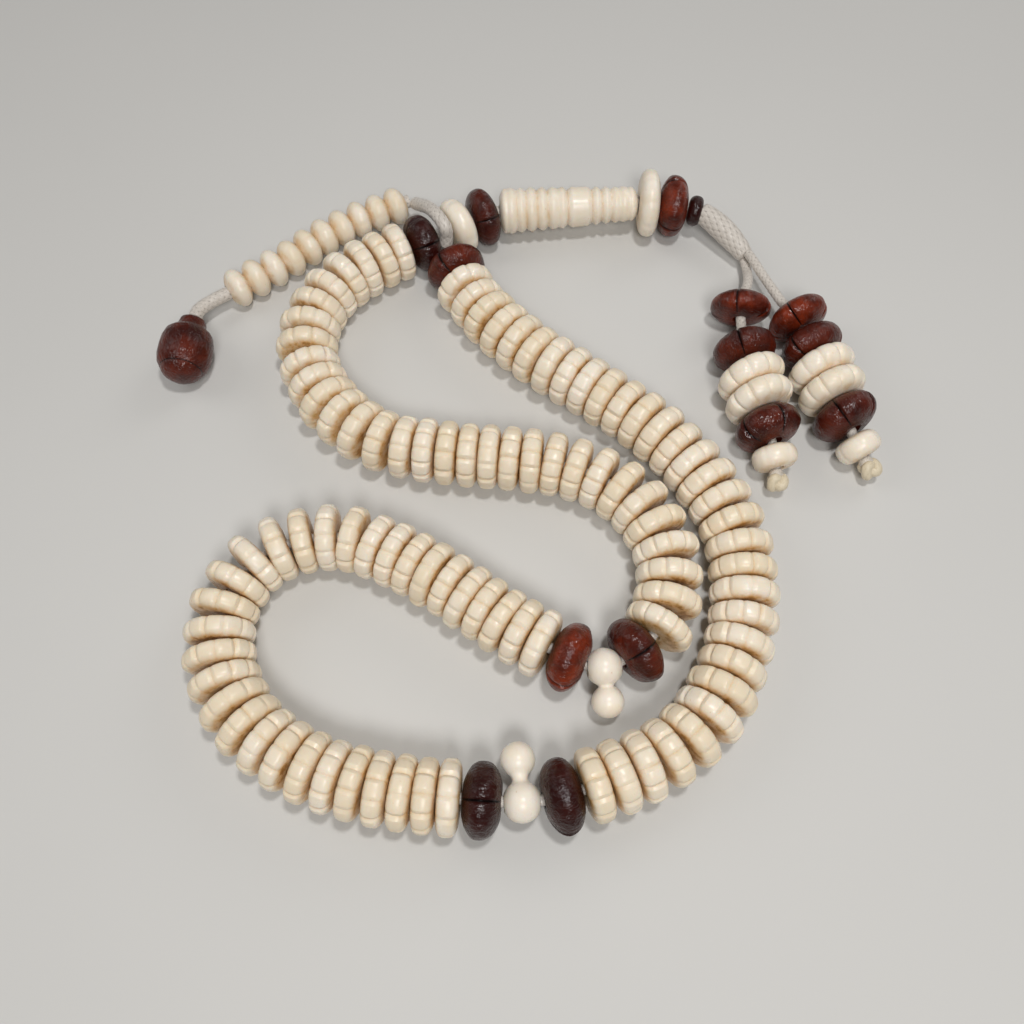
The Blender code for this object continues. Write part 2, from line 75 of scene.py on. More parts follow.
# Routes of the cords, as the part has them. The strand keeps one height, the others give x, y, z.
BEADS_PER_RUN = 31
BEADS_PER_ROW = 8
STRAND_HEIGHT = 6.0
BEND_CROWDING = 0.8
INNER_RIM = 3.4  # how far from the route the beads touch on the inside of a bend
TABLE_GAP = 0.04
SPACER_REACH = 3.35
RUN_A = (
    (-18.2, 50.6), (-26.9, 45.9), (-34.5, 39.7), (-38.9, 31.6), (-39.5, 21.9), (-35.1, 12.3),
    (-28.9, 6.0), (-21.9, 2.3), (-10.9, 0.3), (1.1, -0.9), (9.6, -2.3), (17.4, -5.4),
    (23.9, -11.1), (27.7, -19.0), (27.8, -26.7), (25.6, -33.3), (21.4, -37.5),
)
DIVIDER_1 = (16.0, -40.3)
RUN_B = (
    (10.2, -38.6), (3.3, -35.0), (-4.1, -30.1), (-12.2, -24.5), (-20.7, -19.9), (-28.9, -16.9),
    (-37.1, -17.5), (-44.3, -21.5), (-48.6, -29.1), (-48.7, -37.7), (-45.5, -45.9),
    (-39.5, -52.3), (-31.9, -56.7), (-22.9, -59.5), (-12.9, -61.0), (-4.1, -61.7),
)
DIVIDER_2 = (2.2, -62.0)
RUN_C = (
    (8.5, -61.0), (17.4, -58.1), (25.4, -54.5), (32.1, -49.0), (36.9, -41.4), (40.0, -33.1),
    (41.0, -24.2), (40.3, -15.5), (36.9, -7.2), (31.0, 1.4), (23.6, 8.7), (14.6, 15.5),
    (5.7, 22.0), (-2.6, 29.9), (-8.3, 37.7), (-11.0, 43.8),
)
NECK_A = (-14.8, 52.3)
NECK_C = (-13.2, 49.6)
HEAD_ROUTE = (
    (-14.1, 52.6, 6.0), (-10.8, 54.9, 6.0), (-5.6, 57.6, 6.1), (-2.0, 59.0, 6.3),
    (12.6, 59.8, 6.7), (27.3, 60.6, 7.0), (29.8, 60.7, 7.0), (35.0, 60.3, 6.4), (40.1, 59.2, 6.2),
)
# The counter's tail, and the place inside the neck where it is tied in
TAIL_ROOT = (-13.2, 49.9, 6.4)
COUNTER_TAIL = (
    (-13.0, 50.5, 8.6), (-13.2, 50.9, 10.6), (-14.9, 53.6, 11.0), (-17.0, 57.2, 9.4),
    (-18.8, 60.2, 6.9), (-20.1, 62.1, 5.4),
)
SLEEVE_ROUTE = (
    (41.7, 58.4, 6.1), (43.8, 56.7, 5.6), (46.3, 54.1, 5.0), (48.4, 51.5, 4.3), (49.5, 49.9, 3.9),
)
LEG_ROUTES = {
    "left": (
        (49.9, 48.6, 2.8), (50.1, 45.3, 3.1), (49.5, 41.7, 4.5), (48.2, 37.9, 5.6),
        (46.8, 34.0, 5.8), (46.4, 23.4, 6.1), (46.8, 16.5, 6.8), (47.7, 11.5, 6.8),
        (48.9, 5.7, 6.2), (49.8, 0.1, 4.8), (50.2, -4.2, 3.0),
    ),
    "right": (
        (50.2, 48.7, 5.0), (51.0, 46.5, 5.3), (52.1, 43.5, 5.4), (53.7, 39.3, 5.7),
        (55.5, 34.9, 6.0), (58.0, 31.2, 6.1), (59.8, 24.4, 6.1), (60.6, 18.5, 6.8),
        (61.9, 13.5, 6.8), (63.7, 8.1, 6.2), (65.9, 2.4, 4.8), (68.0, -1.4, 3.0),
    ),
}
COUNTER_ROUTE = (
    (-21.8, 63.8, 4.4), (-25.0, 62.3, 4.2), (-32.6, 58.3, 4.2), (-39.9, 53.3, 4.2),
    (-46.3, 47.7, 4.2), (-53.1, 42.5, 4.2), (-56.9, 39.7, 4.2), (-60.8, 36.9, 4.3),
    (-63.0, 34.3, 4.8), (-63.5, 31.7, 5.3),
)
KNOT_REACH = 2.25
KNOT_NECK_REACH = 2.75
DROP_NECK = Vector((-63.6, 30.9, 5.5))
DROP_END = Vector((-64.3, 15.9, 5.6))
IMAME_WIDE_END = Vector((-2.0, 59.0, 6.3))
IMAME_NARROW_END = Vector((27.2, 60.6, 7.0))

# Half sections of bored beads, from the middle of the rim to the bore: shares of the half
# thickness and of the radius.
SAWN_SECTION = (
    (0.0, 1.0), (0.30, 0.994), (0.53, 0.972), (0.70, 0.925), (0.84, 0.85), (0.94, 0.755),
    (0.99, 0.64), (1.0, 0.5), (0.96, 0.3),
)
PILLOW_SECTION = (
    (0.0, 1.0), (0.28, 0.987), (0.52, 0.945), (0.72, 0.87), (0.87, 0.76), (0.96, 0.61),
    (1.0, 0.45), (0.97, 0.34),
)
LENS_SECTION = (
    (0.0, 1.0), (0.14, 0.996), (0.30, 0.975), (0.45, 0.935), (0.59, 0.875), (0.72, 0.79),
    (0.83, 0.69), (0.92, 0.57), (0.98, 0.46),
)
EGG_SECTION = (
    (0.0, 1.0), (0.19, 0.986), (0.37, 0.943), (0.54, 0.87), (0.70, 0.765), (0.84, 0.63),
    (0.94, 0.51), (1.0, 0.41),
)
# Turned grooves of the imame: distance from its wide end, and share of the full depth
IMAME_GROOVES = (
    (1.55, 0.35), (3.6, 0.65), (5.6, 0.95), (7.95, 1.0), (10.2, 1.0), (12.4, 0.45), (14.4, 1.0),
    (19.6, 0.9), (21.65, 1.0), (23.7, 0.85), (25.4, 0.4), (27.4, 0.4),
)
DROP_PROFILE = (
    (0.0, 0.0), (0.0, 2.2), (0.3, 2.6), (1.2, 2.75), (2.1, 2.95), (2.6, 3.35), (3.1, 4.05),
    (4.0, 4.75), (5.5, 5.2), (7.6, 5.3), (9.4, 5.1), (10.7, 4.7), (11.5, 4.2), (11.75, 3.9),
    (12.0, 3.95), (12.7, 3.5), (13.4, 2.5), (13.85, 1.3), (13.95, 0.0),
)


def linear(code):
    """A hex sRGB colour as the linear values that shaders take."""
    shares = [int(code[start:start + 2], 16) / 255 for start in (1, 3, 5)]
    return [s / 12.92 if s <= 0.04045 else ((s + 0.055) / 1.055) ** 2.4 for s in shares]


def colour(name, code, description):
    return FloatVectorProperty(
        name=name, description=description, subtype="COLOR", size=3, min=0.0, max=1.0,
        default=linear(code),
    )


def length(name, value, description):
    return FloatProperty(
        name=name, description=description, unit="LENGTH", min=0.0, precision=5,
        default=value * MM,
    )


class MisbahaSizes(bpy.types.PropertyGroup):
    """Sizes that a maker would change"""

    strand_bead: length("Strand bead diameter", 12.0, "Across a bone bead of the strand")
    strand_bead_thickness: length("Strand bead thickness", 4.15, "Along the cord")
    notch_depth: length("Notch depth", 0.42, "How deep a saw notch is cut into a bead's rim")
    spacer: length("Wooden bead diameter", 12.0, "Across a wooden spacer of the strand")
    spacer_thickness: length("Wooden bead thickness", 6.25, "Along the cord")
    tassel_bead: length("Tassel bone diameter", 13.5, "Across a bone bead of the tassel")
    counter_bead: length("Counting bead diameter", 8.3, "Across a small counting bead")
    strand_cord: length("Strand cord diameter", 1.8, "Of the cord that holds the main beads")
    leg_cord: length("Tassel cord diameter", 1.9, "Of each leg of the tassel")
    counter_cord: length("Counter cord diameter", 2.7, "Of the counting beads' cord")
    imame_groove: length("Imame groove depth", 0.8, "How deep the turned grooves are")
    notches: IntProperty(
        name="Notches in a bead", description="Saw notches around a strand bead's rim",
        default=11, min=3, max=24,
    )


class MisbahaColours(bpy.types.PropertyGroup):
    """Colours that a maker would change"""

    ivory: colour("Ivory", "#F3E9DA", "Polished bone where it is worn clean")
    cream: colour("Cream", "#E8D8BD", "Polished bone where it has yellowed")
    # honey and amber are stain together with painted shade, in the cuts and on the faces
    honey: colour("Honey", "#CFA05A", "Stain that has settled in cuts and against faces")
    amber: colour("Amber", "#94622A", "The deepest stain")
    maroon: colour("Maroon", "#240605", "Lacquered wood")
    chestnut: colour("Chestnut", "#842F14", "Lacquered wood where it is paler")
    # painted shade, near black, at the bottom of the cuts in the wood
    cut_shade: colour("Ebony", "#0D0404", "The bottom of a cut in the wood")
    silver: colour("Silver", "#D6CEC4", "Crowns of the cord's strands")
    # painted shade between the cord's strands; the darker filaments use the same colour
    slate_and_gap_shade: colour("Slate", "#877D73", "Between the cord's strands")
    wax: colour("Wax", "#D9C9A6", "The knots' stiffened ends")
    floor: colour("Floor", "#CFCDC9", "The plain pale table")


# ---- routes and places


class Route:
    """A smooth curve through given points, in millimetres, measured by its length."""

    STEPS = 16

    def __init__(self, knots):
        knots = [Vector(knot) for knot in knots]
        ends = [2 * knots[0] - knots[1], *knots, 2 * knots[-1] - knots[-2]]
        self.points, self.knot_stations = [knots[0]], [0.0]
        self.stations = [0.0]
        for before, start, stop, after in zip(ends, ends[1:], ends[2:], ends[3:]):
            for step in range(1, self.STEPS + 1):
                point = self.blend(before, start, stop, after, step / self.STEPS)
                self.stations.append(self.stations[-1] + (point - self.points[-1]).length)
                self.points.append(point)
            self.knot_stations.append(self.stations[-1])
        self.length = self.stations[-1]

    @staticmethod
    def blend(before, start, stop, after, share):
        """One point of the curve between start and stop, by Catmull and Rom's rule."""
        cubic = 3 * start - before - 3 * stop + after
        square = 2 * before - 5 * start + 4 * stop - after
        return start + 0.5 * share * ((stop - before) + share * (square + share * cubic))

    def at(self, station):
        station = min(max(station, 0.0), self.length)
        index = max(1, bisect_left(self.stations, station))
        low, high = self.stations[index - 1], self.stations[index]
        return self.points[index - 1].lerp(self.points[index], (station - low) / (high - low))

    def direction(self, station, reach=0.6):
        return (self.at(station + reach) - self.at(station - reach)).normalized()

    def curvature(self, station, reach=3.0):
        turn = self.direction(station - reach).angle(self.direction(station + reach))
        return turn / (2 * reach)

    def evenly(self, stop, spacing):
        """Points from the start to a station, about spacing apart."""
        count = max(2, round(stop / spacing))
        return [self.at(stop * i / count) for i in range(count + 1)]


def strand_route():
    knots = [NECK_A, *RUN_A, DIVIDER_1, *RUN_B, DIVIDER_2, *RUN_C, NECK_C]
    return Route([(x, y, STRAND_HEIGHT) for x, y in knots])


def bead_boundaries(route, start, stop, count):
    """Stations where strand beads meet: closest on the straights, more open round a bend."""
    steps = 400
    width = (stop - start) / steps
    crowd = [0.0]
    for i in range(steps):
        curve = route.curvature(start + (i + 0.5) * width)
        crowd.append(crowd[-1] + width / (1 + BEND_CROWDING * curve * STRAND_HEIGHT))
    boundaries = [start]
    for bead in range(1, count):
        target = crowd[-1] * bead / count
        index = bisect_left(crowd, target)
        share = (target - crowd[index - 1]) / (crowd[index] - crowd[index - 1])
        boundaries.append(start + (index - 1 + share) * width)
    return boundaries + [stop]


def leg_route(side):
    """A tassel leg's route, and where along it the cord goes into its knot."""
    route = Route(LEG_ROUTES[side])
    return route, route.length - KNOT_REACH


def turn_to(direction):
    """The rotation that carries +X to a direction and keeps +Z as near up as it can be."""
    along = Vector(direction).normalized()
    side = UP.cross(along).normalized()
    return Matrix((along, side, along.cross(side))).transposed()


def middle_of(node):
    low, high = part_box(node)
    return (low + high) / 2 / MM


# ---- materials


def add_node(tree, kind, inputs=None, **settings):
    """Add a shader node. Each input is a value to set or an output to link."""
    node = tree.nodes.new(kind)
    for name, value in settings.items():
        setattr(node, name, value)
    for key, value in (inputs or {}).items():
        if isinstance(value, bpy.types.NodeSocket):
            tree.links.new(value, node.inputs[key])
        else:
            node.inputs[key].default_value = value
    return node


def new_material(name, settings):
    """A material of one Principled shader, with the values that are the same all over it."""
    material = bpy.data.materials.new(name)
    material.use_nodes = True
    tree = material.node_tree
    shader = tree.nodes["Principled BSDF"]
    for key, value in settings.items():
        shader.inputs[key].default_value = value
    return material, tree, shader


def drive(tree, shader, **inputs):
    for name, value in inputs.items():
        tree.links.new(value, shader.inputs[name.replace("_", " ")])


def attribute(tree, name, output="Fac"):
    return add_node(tree, "ShaderNodeAttribute", attribute_name=name).outputs[output]


def speckle(tree, place, scale, detail=2.0, rough=0.5, stretch=None, twist=0.0):
    """Noise on places in millimetres; scale is how many patches there are to a millimetre."""
    if stretch:
        place = add_node(tree, "ShaderNodeMapping", {"Vector": place, "Scale": stretch}).outputs[0]
    grain = {"Scale": scale, "Detail": detail, "Roughness": rough, "Distortion": twist}
    return add_node(tree, "ShaderNodeTexNoise", {"Vector": place, **grain}).outputs["Fac"]


def ramp(tree, value, low, high, start=0.0, stop=1.0):
    """Carry a value from low-high to start-stop, clamped and eased."""
    settings = {"Value": value, 1: low, 2: high, 3: start, 4: stop}
    node = add_node(tree, "ShaderNodeMapRange", settings, interpolation_type="SMOOTHSTEP")
    return node.outputs["Result"]


def blend(tree, factor, first, second):
    """Mix two colours, each a property's three values or an output."""
    def whole(value):
        return value if isinstance(value, bpy.types.NodeSocket) else (*value, 1.0)
    settings = {0: factor, 6: whole(first), 7: whole(second)}
    return add_node(tree, "ShaderNodeMix", settings, data_type="RGBA").outputs[2]


def sums(tree, operation, first, second):
    return add_node(tree, "ShaderNodeMath", {0: first, 1: second}, operation=operation).outputs[0]


def bump(tree, height, depth, strength, under=None):
    """Relief of a depth in millimetres, over another relief where one is given."""
    settings = {"Height": height, "Distance": depth * MM, "Strength": strength}
    if under is not None:
        settings["Normal"] = under
    return add_node(tree, "ShaderNodeBump", settings).outputs["Normal"]


def bone_material(colours):
    """Sawn cow bone, tumble polished: satin ivory, yellowed in patches, honey stain and painted
    shade in the cuts.
    """
    material, tree, shader = new_material("polished_bone", {
        "IOR": 1.5, "Specular IOR Level": 0.4,
        "Subsurface Weight": 0.25, "Subsurface Radius": (1.0, 0.6, 0.35),
        "Subsurface Scale": 0.6 * MM,
    })
    grain = attribute(tree, "grain", "Vector")
    stain_and_shade, tone = attribute(tree, "stain_and_shade"), attribute(tree, "tone")
    # yellowing in patches of 4 mm, over the bead's own tone
    patches = speckle(tree, grain, 0.25, 3.0, 0.55)
    yellow = ramp(tree, sums(tree, "ADD", patches, tone), 0.35, 1.1)
    clean = blend(tree, yellow, colours.ivory, colours.cream)
    # vessels of bone as fine lines 0.3 mm apart that run along the bore
    lines = speckle(tree, grain, 1.0, 4.0, 0.6, (0.35, 3.2, 3.2))
    lined = blend(tree, ramp(tree, lines, 0.52, 0.8, 0.0, 0.35), clean, colours.cream)
    # pores, about one to each few square millimetres
    pores = ramp(tree, speckle(tree, grain, 2.2, 2.0, 0.5, (0.7, 1.0, 1.0)), 0.72, 0.8, 0.0, 0.45)
    pored = blend(tree, pores, lined, colours.honey)
    worn = ramp(tree, speckle(tree, grain, 0.5, 4.0, 0.65), 0.25, 0.7, 0.45, 1.15)
    # stain and painted shade: honey, then amber at the deepest, in the cuts and over the faces
    # where beads meet
    settled = sums(tree, "MULTIPLY", stain_and_shade, worn)
    stained_and_shaded = blend(tree, ramp(tree, settled, 0.05, 0.95, 0.0, 0.85), pored, colours.honey)
    deep = blend(tree, ramp(tree, settled, 0.75, 1.1, 0.0, 0.8), stained_and_shaded, colours.amber)
    gloss = ramp(tree, patches, 0.3, 0.7, 0.26, 0.38)
    relief = bump(tree, patches, 0.25, 0.25, bump(tree, lines, 0.05, 0.35))
    drive(tree, shader, Base_Color=deep, Roughness=gloss, Normal=relief)
    return material


def wood_material(colours):
    """Dense wood under thick lacquer: near-black maroon with wet, wrinkled highlights."""
    material, tree, shader = new_material("lacquered_wood", {
        "IOR": 1.45, "Specular IOR Level": 0.12, "Coat Weight": 0.55, "Coat Roughness": 0.08,
    })
    grain = attribute(tree, "grain", "Vector")
    stain_and_shade, tone = attribute(tree, "stain_and_shade"), attribute(tree, "tone")
    # wood grain 0.8 mm apart along the bore
    lines = speckle(tree, grain, 1.0, 4.0, 0.6, (0.3, 1.25, 1.25))
    cloud = speckle(tree, grain, 0.22, 2.0, 0.5)
    paler = sums(tree, "MULTIPLY", ramp(tree, lines, 0.2, 0.85, 0.55, 1.0), tone)
    body = blend(tree, sums(tree, "MULTIPLY", paler, ramp(tree, cloud, 0.3, 0.7, 0.25, 1.2)),
                 colours.maroon, colours.chestnut)
    # painted shade: the bottom of each cut goes near black
    cut = blend(tree, ramp(tree, stain_and_shade, 0.15, 0.8), body, colours.cut_shade)
    # lacquer wrinkles about 1 mm apart, with pits between them
    wrinkles = speckle(tree, grain, 0.62, 3.0, 0.5, (0.7, 1.5, 1.5), 2.0)
    pits = speckle(tree, grain, 1.8, 2.0, 0.5)
    gloss = ramp(tree, pits, 0.3, 0.75, 0.28, 0.5)
    relief = bump(tree, pits, 0.05, 0.5, bump(tree, wrinkles, 0.45, 0.65))
    drive(tree, shader, Base_Color=cut, Roughness=gloss, Normal=relief, Coat_Normal=relief)
    return material


def cord_material(colours):
    """Plaited artificial silk: grey-white strands with a soft sheen, and painted shade in the
    gaps.
    """
    material, tree, shader = new_material("plaited_cord", {
        "IOR": 1.5, "Sheen Weight": 0.25, "Sheen Roughness": 0.4,
    })
    grain = attribute(tree, "grain", "Vector")
    relief, tone = attribute(tree, "relief"), attribute(tree, "tone")
    # filaments drawn at 0.15 mm, coarser than real, so that they show
    threads = speckle(tree, grain, 1.0, 3.0, 0.6, (1.2, 6.0, 6.0))
    # painted shade: the gaps between strands go darker by their relief
    raised = ramp(tree, relief, 0.0, 0.6)
    plain = blend(tree, raised, colours.slate_and_gap_shade, colours.silver)
    dulled = blend(tree, ramp(tree, threads, 0.35, 0.75, 0.0, 0.4), plain, colours.slate_and_gap_shade)
    waxed = blend(tree, tone, dulled, colours.wax)
    gloss = ramp(tree, threads, 0.3, 0.7, 0.38, 0.6)
    drive(tree, shader, Base_Color=waxed, Roughness=gloss, Normal=bump(tree, threads, 0.05, 0.5))
    return material


MATERIALS = {
    "bone": ("polished_bone", bone_material), "wood": ("lacquered_wood", wood_material),
    "cord": ("plaited_cord", cord_material),
}


def finish_piece(piece, kind, node):
    """Give a piece its material and slot, and let it ride on and stand for a CAD node."""
    name, make = MATERIALS[kind]
    made = bpy.data.materials.get(name) or make(bpy.context.scene.misbaha_colours)
    piece.data.materials.clear()
    piece.data.materials.append(made)
    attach(piece, BODIES[node])
    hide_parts(node)
    return piece


# ---- turned shapes


def deselect():
    bpy.ops.object.select_all(action="DESELECT")


def turned(name, profile, sides, smooth=35.0):
    """Draw a profile of (distance, radius) point by point and spin it about +X."""
    deselect()
    bpy.ops.mesh.primitive_plane_add(size=MM)
    piece = bpy.context.object
    piece.name = piece.data.name = name
    bpy.ops.object.mode_set(mode="EDIT")
    bpy.ops.mesh.select_all(action="SELECT")
    bpy.ops.mesh.merge(type="CENTER")
    corners = [Vector((along, 0.0, radius)) * MM for along, radius in profile]
    bpy.ops.transform.translate(value=corners[0])
    for here, there in zip(corners, corners[1:]):
        bpy.ops.mesh.extrude_vertices_move(TRANSFORM_OT_translate={"value": there - here})
    bpy.ops.mesh.select_all(action="SELECT")
    bpy.ops.mesh.spin(steps=sides, angle=TURN, center=(0, 0, 0), axis=(1, 0, 0))
    bpy.ops.mesh.select_all(action="SELECT")
    bpy.ops.mesh.remove_doubles(threshold=MERGE)
    bpy.ops.mesh.normals_make_consistent(inside=False)
    bpy.ops.object.mode_set(mode="OBJECT")
    bpy.ops.object.shade_smooth_by_angle(angle=radians(smooth))
    return piece


def bored_profile(section, diameter, thickness, bore):
    """The wall of a bored bead, out over its rim and back through its bore."""
    half, radius = thickness / 2, diameter / 2
    right = [(along * half, across * radius) for along, across in section]
    right.append((right[-1][0] * 0.98, bore / 2))
    left = [(-along, across) for along, across in reversed(right[1:])]
    return [*left, *right, left[0]]


def around(place, sides):
    """Which column of a spun piece a point belongs to."""
    return round((atan2(place.z, place.y) - pi / 2) / TURN * sides) % sides


def choose(piece, test):
    """In edit mode, select only the vertices whose place passes a test."""
    shape = bmesh.from_edit_mesh(piece.data)
    for vertex in shape.verts:
        vertex.select_set(test(vertex.co))
    shape.select_flush_mode()
    bmesh.update_edit_mesh(piece.data)


def press(piece, sides, columns, share, floor):
    """Push columns of a bead's rim in towards its axis, down to a floor radius."""
    choose(piece, lambda place: around(place, sides) in columns
           and hypot(place.y, place.z) > floor * MM)
    bpy.ops.transform.resize(value=(1, share, share), center_override=(0, 0, 0))


def notched_bead(name, profile, sides, cuts, depth, floor, walls):
    """A turned bead with notches cut across its rim at the given columns.

    walls gives the share of the depth that the columns beside a cut are pressed by, outwards.
    """
    piece = turned(name, profile, sides)
    radius = max(across for _, across in profile)
    shares = dict.fromkeys(cuts, 1.0)
    for step, share in enumerate(walls, 1):
        for cut in cuts:
            shares.setdefault((cut + step) % sides, share)
            shares.setdefault((cut - step) % sides, share)
    bpy.ops.object.mode_set(mode="EDIT")
    for share in (1.0, *walls):
        columns = {column for column, own in shares.items() if own == share}
        press(piece, sides, columns, 1 - share * depth / radius, floor)
    bpy.ops.object.mode_set(mode="OBJECT")
    bpy.ops.object.shade_smooth_by_angle(angle=radians(28))
    notch = piece.data.attributes.new("notch", "FLOAT", "POINT")
    for vertex, value in zip(piece.data.vertices, notch.data):
        column = around(vertex.co, sides)
        deep = hypot(vertex.co.y, vertex.co.z) > (floor - depth) * MM
        value.value = deep * shares.get(column, 0.0)
    piece["sides"], piece["radius"] = sides, radius
    piece["cuts"] = sorted(cuts)
    return piece


def surface_layers(data):
    """New point layers that the materials read: place in millimetres, stain with painted shade,
    and tone.
    """
    kinds = {"grain": "FLOAT_VECTOR", "stain_and_shade": "FLOAT", "tone": "FLOAT"}
    for name, kind in kinds.items():
        data.attributes.new(name, kind, "POINT")
    return {name: data.attributes[name].data for name in kinds}


# How a bead is worn, where its maker doesn't say otherwise
PLAIN_LOOK = {
    "thick": 1.0, "wide": 1.0,  # stretches along the bore and across it
    "warp": 0.0,  # how unevenly the notches are spaced
    "wedge": 0.0,  # slope between the two faces
    "depth": 0.0, "depths": (1.0, 0.9, 0.75, 0.5, 1.0),  # of a notch, and its shares to draw from
    "step": 0.0,  # range of the heights of the tiles, the parts of the rim between notches
    "scallop": 0.0,  # how far a tile falls away to its notches
    "lumps": 0.0, "lump_scale": 0.5,  # height of the relief, and lumps to a millimetre
    "tone": 0.5,  # 0 is clean bone or dark wood, 1 is yellowed bone or paler wood
    "cut": 0.5, "stain_and_shade": 1.0,  # how strong the stain and painted shade are in the notches and on the faces
}
# Shares of a bead's radius: relief grows outwards over the rim, stain and painted shade inwards
# over the faces
RIM_STARTS, RIM_BLEND = 0.6, 0.3
STAIN_AND_SHADE_STARTS, STAIN_AND_SHADE_BLEND = 0.94, 0.2


def clamped(value):
    return min(1.0, max(0.0, value))


def lay_bead(master, name, centre, along, draw, look, spin=None):
    """A copy of a bead with its own mesh, worn a little differently from its neighbours."""
    look = {**PLAIN_LOOK, **look}
    data = master.data.copy()
    piece = bpy.data.objects.new(name, data)
    data.name = name
    bpy.context.scene.collection.objects.link(piece)
    sides, radius = master["sides"], master["radius"]
    turn = turn_to(along)
    spin = draw.uniform(0, TURN) if spin is None else spin
    # the fourth is drawn only so that the draws after it stay as they are
    phases = [draw.uniform(0, TURN) for _ in range(4)]
    offset = Vector([draw.uniform(-60, 60) for _ in range(3)])
    cuts = list(master["cuts"]) or [0]
    depths = [draw.choice(look["depths"]) for _ in cuts]
    raises = [draw.uniform(-0.5, 0.5) for _ in cuts]
    nearest = []
    for column in range(sides):
        gaps = [min((column - cut) % sides, (cut - column) % sides) for cut in cuts]
        nearest.append(gaps.index(min(gaps)))
    notch = [value.value for value in data.attributes["notch"].data]
    data.attributes.remove(data.attributes["notch"])
    layers = surface_layers(data)
    for index, vertex in enumerate(data.vertices):
        place = vertex.co / MM
        out, angle = hypot(place.y, place.z), atan2(place.z, place.y)
        column = around(place, sides)
        cut, share = notch[index], out / radius
        rim = clamped((share - RIM_STARTS) / RIM_BLEND)
        if cut > 0:
            own = depths[nearest[column]]
            out += (1 - own) * look["depth"] * 0.9 * cut
            cut *= own
        else:
            tile = bisect_left(cuts, column) % len(cuts)
            gap = (cuts[tile] - cuts[tile - 1]) % sides or sides
            within = ((column - cuts[tile - 1]) % sides) / gap
            out += raises[tile] * look["step"] * rim
            out -= look["scallop"] * rim * abs(2 * within - 1) ** 2.4
        angle += look["warp"] * (
            sin(angle + phases[0]) + 0.6 * sin(2 * angle + phases[1])
        )
        along_x = place.x * look["thick"] + out * sin(angle + phases[2]) * look["wedge"]
        out *= look["wide"]
        local = Vector((along_x, out * cos(angle + spin), out * sin(angle + spin)))
        where = local + offset
        if look["lumps"]:
            lump = where * look["lump_scale"]
            push = noise.noise(lump) + 0.5 * noise.noise(lump * 2.3)
            local.yz += local.yz.normalized() * push * look["lumps"] * rim
        # painted shade mixed with stain: darker in the notches and over the faces, where
        # neighbouring beads meet
        valley = clamped((STAIN_AND_SHADE_STARTS - share) / STAIN_AND_SHADE_BLEND) * look["stain_and_shade"]
        layers["grain"][index].vector = where
        layers["stain_and_shade"][index].value = max(cut * look["cut"], valley)
        layers["tone"][index].value = look["tone"]
        vertex.co = (centre + turn @ local) * MM
    return piece


def lean(direction, draw, most):
    """A direction turned a little at random about the upright and about the level side."""
    side = UP.cross(direction).normalized()
    swing, nod = draw.gauss(0, 0.5) * most, draw.gauss(0, 0.35) * most
    return Matrix.Rotation(swing, 3, UP) @ Matrix.Rotation(nod, 3, side) @ direction


def rested(node):
    """The way a bead's bore points: the first beads of the tassel lean back on the cord."""
    axis, leans = AXES[node], {"left_wood_1": 13, "right_wood_1": 4}
    if node not in leans:
        return axis
    back = radians(leans[node])
    level = Vector((axis.x, axis.y, 0)).normalized()
    return (level * cos(back) - UP * sin(back)).normalized()


def thread(master, kind, node, draw, look, spin=None):
    """Lay a bead where a CAD node is and let it stand for that node."""
    name = {"bone": "polished_", "wood": "lacquered_"}[kind] + node
    bead = lay_bead(master, name, middle_of(node), rested(node), draw, look, spin)
    finish_piece(bead, kind, node)


def discard(*pieces):
    for piece in pieces:
        bpy.data.objects.remove(piece)


# ---- plaited cords


def plait(along, angle, strands, pitch):
    """How high a plait stands, from 0 to 1, at a distance along it and an angle round it."""
    first = along / pitch + strands * angle / TURN
    second = along / pitch - strands * angle / TURN
    across, lengthways = first % 1.0, second % 1.0
    if (floor(first) + floor(second)) % 2:
        across, lengthways = lengthways, across
    crown = 1 - (2 * across - 1) ** 2
    swell = 1 - (2 * lengthways - 1) ** 2
    return sqrt(max(0.0, crown)) * (0.5 + 0.5 * swell)


